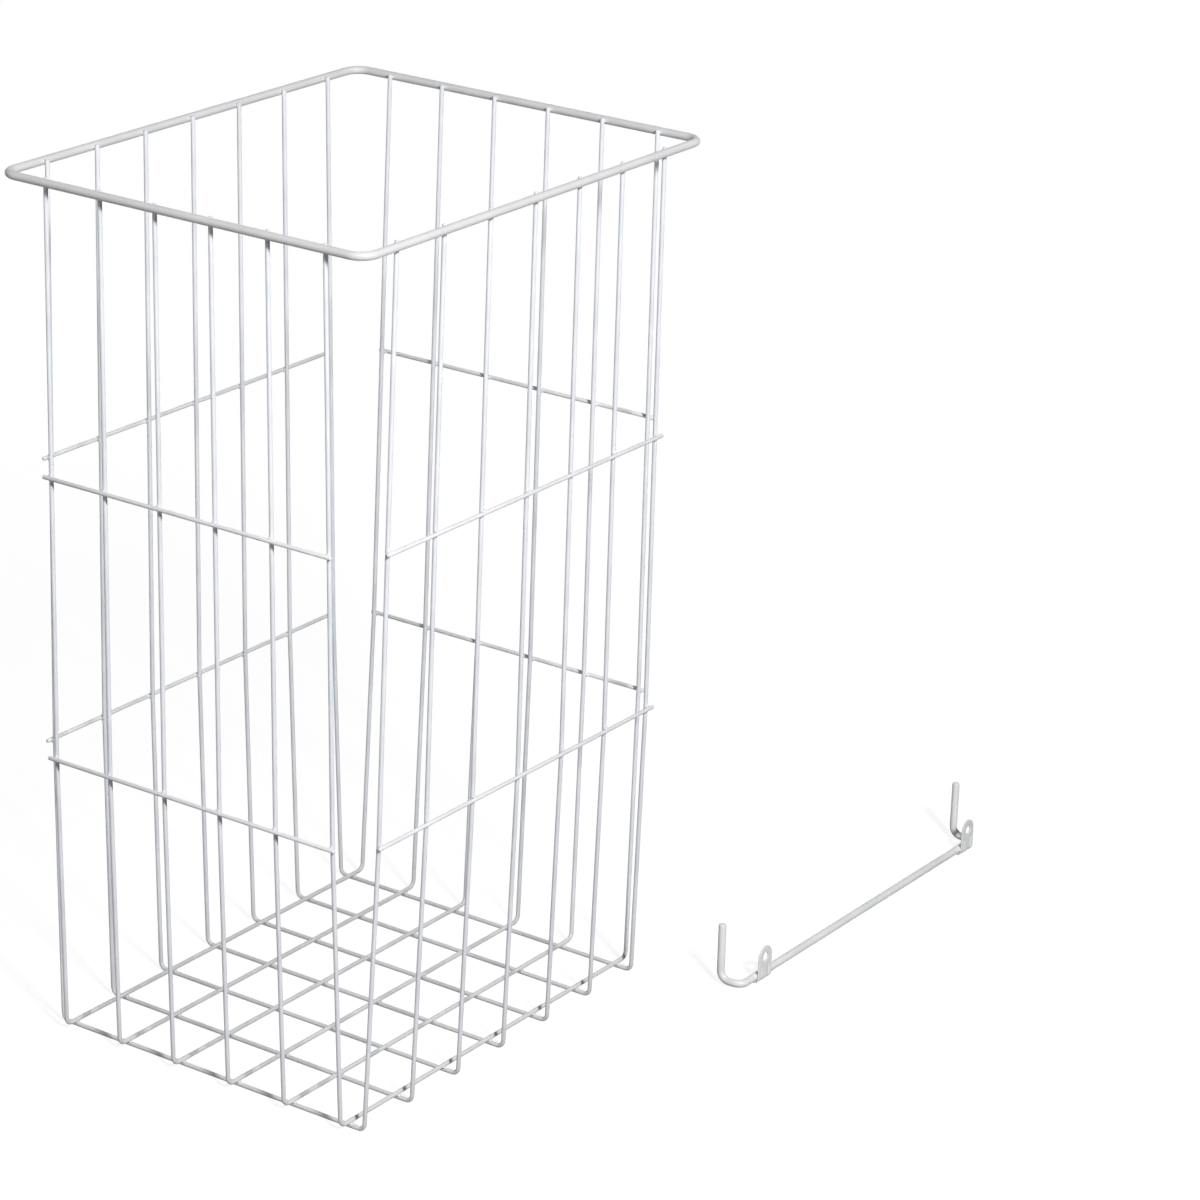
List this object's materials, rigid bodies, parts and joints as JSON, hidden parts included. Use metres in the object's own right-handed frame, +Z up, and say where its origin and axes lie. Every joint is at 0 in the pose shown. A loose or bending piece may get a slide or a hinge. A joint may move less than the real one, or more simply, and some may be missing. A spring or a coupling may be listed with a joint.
{
  "type": "wire laundry basket",
  "caption": "Tall tapered basket of welded white coated wire, open at the top, with its loose hanging bar: a bent rod with upturned hooks that turns in two sheet metal screw clips.",
  "frame": {"origin": "on the floor under the middle of the basket, at the underside of the middle crosswise wire", "axes": "+Z up; X across the basket, its short side; Y along the basket, its long side; the hanging bar stands on the same floor at +X and +Y, its rod along Y and its hooks towards -X"},
  "size_m": [0.3116, 0.5892, 0.5233],
  "materials": {
    "rim_wire": "white plastic coating on steel wire, soft gloss",
    "basket_wire": "white plastic coating on steel wire, soft gloss",
    "hoop_wire": "white plastic coating on steel wire, soft gloss",
    "bar_wire": "white plastic coating on steel rod, soft gloss",
    "clip_sheet": "white enamel on pressed steel sheet, soft gloss"
  },
  "bodies": {
    "basket": {"rim": "rim_wire", "lengthwise_wire_1": "basket_wire", "lengthwise_wire_2": "basket_wire", "lengthwise_wire_3": "basket_wire", "lengthwise_wire_4": "basket_wire", "lengthwise_wire_5": "basket_wire", "lengthwise_wire_6": "basket_wire", "crosswise_wire_1": "basket_wire", "crosswise_wire_2": "basket_wire", "crosswise_wire_3": "basket_wire", "crosswise_wire_4": "basket_wire", "crosswise_wire_5": "basket_wire", "crosswise_wire_6": "basket_wire", "crosswise_wire_7": "basket_wire", "lower_hoop_front": "hoop_wire", "lower_hoop_right": "hoop_wire", "lower_hoop_back": "hoop_wire", "lower_hoop_left": "hoop_wire", "upper_hoop_front": "hoop_wire", "upper_hoop_right": "hoop_wire", "upper_hoop_back": "hoop_wire", "upper_hoop_left": "hoop_wire"},
    "bar": {"hanger_bar": "bar_wire"},
    "near_clip": {"clip_near": "clip_sheet"},
    "far_clip": {"clip_far": "clip_sheet"}
  },
  "joints": [
    {"name": "bar_lift", "type": "slide", "parent": "basket", "child": "bar", "axis": [0, 0, 1], "range_m": [0, 0.511]},
    {"name": "near_clip_turn", "type": "hinge", "parent": "bar", "child": "near_clip", "pos_m": [0.18, 0.173, 0.0037], "axis": [0, 1, 0], "range_deg": [-90, 90]},
    {"name": "far_clip_turn", "type": "hinge", "parent": "bar", "child": "far_clip", "pos_m": [0.18, 0.4146, 0.0037], "axis": [0, 1, 0], "range_deg": [-90, 90]}
  ]
}
